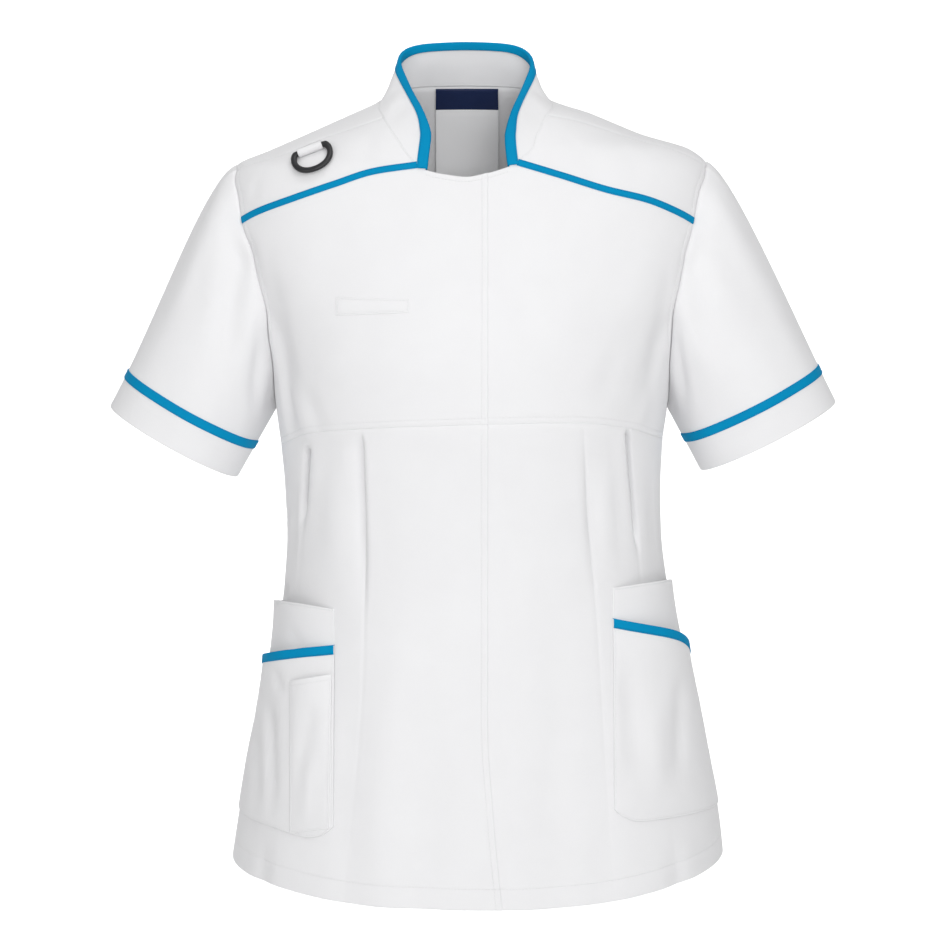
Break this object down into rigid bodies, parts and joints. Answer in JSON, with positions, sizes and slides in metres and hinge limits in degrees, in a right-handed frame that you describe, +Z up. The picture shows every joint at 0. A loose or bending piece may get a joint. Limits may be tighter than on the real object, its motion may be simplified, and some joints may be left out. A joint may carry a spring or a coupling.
{
  "type": "maternity tunic",
  "caption": "Short-sleeved maternity tunic with open stand collar, side-front pleats below a high waist seam, layered hip pockets and contrast tape, hollow as if worn.",
  "frame": {"origin": "middle of the neck, level with the two points where the shoulder ridges meet the collar, where the wearer's shoulders carry the tunic", "axes": "+Z up, -Y the way the front faces, +X to the wearer's left"},
  "size_m": [0.7003, 0.3231, 0.8057],
  "materials": {
    "white_cloth": "matte plain-weave polyester and cotton",
    "blue_tape": "matte woven tape with a slight sheen",
    "label_cloth": "satin label, white below a navy band, with no print",
    "black_plastic": "satin moulded plastic"
  },
  "bodies": {
    "garment": {"back": "white_cloth", "chest_strip": "white_cloth", "collar": "white_cloth", "collar_binding": "blue_tape", "front_left_skirt": "white_cloth", "front_left_upper": "white_cloth", "front_right_skirt": "white_cloth", "front_right_upper": "white_cloth", "neck_label": "label_cloth", "pen_pocket": "white_cloth", "pocket_back_left": "white_cloth", "pocket_back_right": "white_cloth", "pocket_front_left": "white_cloth", "pocket_front_right": "white_cloth", "pocket_tape_left": "blue_tape", "pocket_tape_right": "blue_tape", "ring_tab": "white_cloth", "sleeve_cuff_left": "white_cloth", "sleeve_cuff_right": "white_cloth", "sleeve_left": "white_cloth", "sleeve_right": "white_cloth", "sleeve_tape_left": "blue_tape", "sleeve_tape_right": "blue_tape", "yoke_left": "white_cloth", "yoke_right": "white_cloth", "yoke_tape_left": "blue_tape", "yoke_tape_right": "blue_tape"},
    "ring": {"d_ring": "black_plastic"}
  },
  "joints": [
    {"name": "ring_hinge", "type": "hinge", "parent": "garment", "child": "ring", "pos_m": [-0.1461, -0.06085, -0.04851], "axis": [-0.9348, 0.0267, -0.354], "range_deg": [0, 160]}
  ]
}
